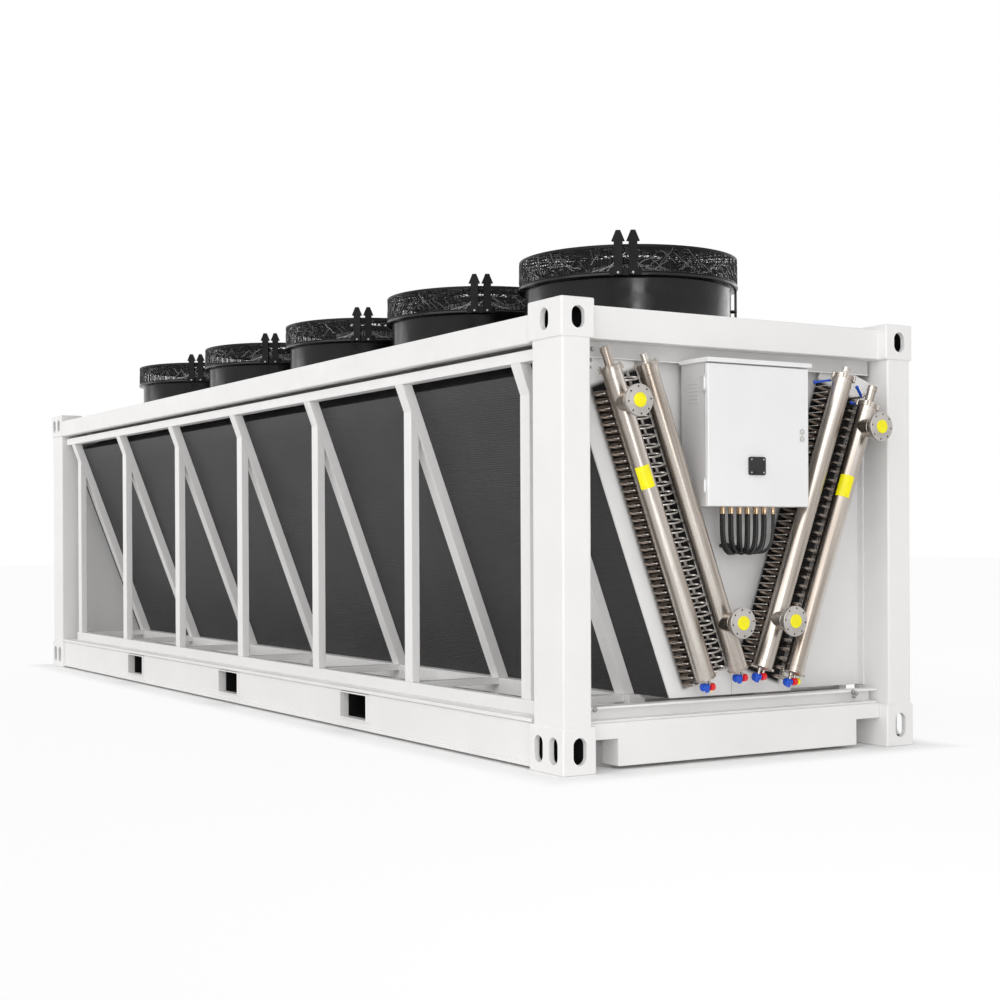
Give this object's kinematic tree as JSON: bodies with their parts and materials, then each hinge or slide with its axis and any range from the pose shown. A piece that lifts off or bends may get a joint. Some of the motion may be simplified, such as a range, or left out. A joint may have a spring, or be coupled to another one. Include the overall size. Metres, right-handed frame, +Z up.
{
  "type": "dry cooler",
  "caption": "Dry cooler with slanted finned coils in a V, a row of axial fans on top, header pipes and a control cabinet, in a container frame.",
  "frame": {"origin": "centre of the base, level with the underside of the corner fittings", "axes": "+X along the length towards the header end, +Z up"},
  "size_m": [9.2955, 2.438, 2.937],
  "materials": {
    "white_frame": "satin powder coat",
    "grey_panel": "satin powder coat",
    "coil_fins": "dark coated fins",
    "return_bends": "tarnished tube",
    "stainless": "brushed",
    "yellow_plastic": "gloss",
    "valve_blue": "gloss",
    "fan_black": "satin black",
    "impeller_black": "matt",
    "bracket_grey": "satin",
    "cabinet_white": "textured powder coat",
    "lock_metal": "satin",
    "plate_black": "satin",
    "brass": "satin",
    "cable_black": "matt"
  },
  "bodies": {
    "cooler": {"corner_fittings_bottom": "white_frame", "corner_fittings_top": "white_frame", "corner_posts": "white_frame", "top_side_rails": "white_frame", "end_headers": "white_frame", "bottom_side_rails": "white_frame", "end_sills": "white_frame", "fork_pockets": "white_frame", "floor_cross_members": "white_frame", "base_rails": "white_frame", "base_ties": "white_frame", "base_end_channels": "white_frame", "unit_top_rails": "white_frame", "side_posts": "white_frame", "side_braces": "white_frame", "coils": "coil_fins", "tube_sheets": "return_bends", "outer_headers": "stainless", "inner_headers": "stainless", "port_caps": "yellow_plastic", "drain_valves": "valve_blue", "front_centre_panel": "grey_panel", "front_side_panel": "grey_panel", "rear_panel": "grey_panel", "deck_side_panels": "grey_panel", "deck_cross_panels": "grey_panel", "deck_end_panels": "grey_panel", "front_top_panel": "grey_panel", "cabinet_rails": "grey_panel", "fan_base_plates": "fan_black", "fan_guard_walls": "fan_black", "fan_guard_tops": "fan_black", "fan_motors": "fan_black", "fan_cowl_1": "fan_black", "fan_cowl_2": "fan_black", "fan_cowl_3": "fan_black", "fan_cowl_4": "fan_black", "fan_cowl_5": "fan_black", "fan_brackets": "bracket_grey", "cabinet_body": "cabinet_white", "cabinet_hood": "cabinet_white", "cable_glands": "brass", "control_cables": "cable_black"},
    "door": {"cabinet_door": "cabinet_white", "door_plate": "plate_black", "door_locks": "lock_metal"},
    "impeller_1": {"fan_impeller_1": "impeller_black"},
    "impeller_2": {"fan_impeller_2": "impeller_black"},
    "impeller_3": {"fan_impeller_3": "impeller_black"},
    "impeller_4": {"fan_impeller_4": "impeller_black"},
    "impeller_5": {"fan_impeller_5": "impeller_black"}
  },
  "joints": [
    {"name": "cabinet_door_swing", "type": "hinge", "parent": "cooler", "child": "door", "pos_m": [4.627, -0.35846, 1.758], "axis": [0, 0, -1], "range_deg": [0, 120]},
    {"name": "fan_1_spin", "type": "hinge", "parent": "cooler", "child": "impeller_1", "pos_m": [3.434, 0, 2.56], "axis": [0, 0, 1], "continuous": true},
    {"name": "fan_2_spin", "type": "hinge", "parent": "cooler", "child": "impeller_2", "pos_m": [1.704, 0, 2.56], "axis": [0, 0, 1], "continuous": true},
    {"name": "fan_3_spin", "type": "hinge", "parent": "cooler", "child": "impeller_3", "pos_m": [-0.026, 0, 2.56], "axis": [0, 0, 1], "continuous": true},
    {"name": "fan_4_spin", "type": "hinge", "parent": "cooler", "child": "impeller_4", "pos_m": [-1.756, 0, 2.56], "axis": [0, 0, 1], "continuous": true},
    {"name": "fan_5_spin", "type": "hinge", "parent": "cooler", "child": "impeller_5", "pos_m": [-3.486, 0, 2.56], "axis": [0, 0, 1], "continuous": true}
  ]
}
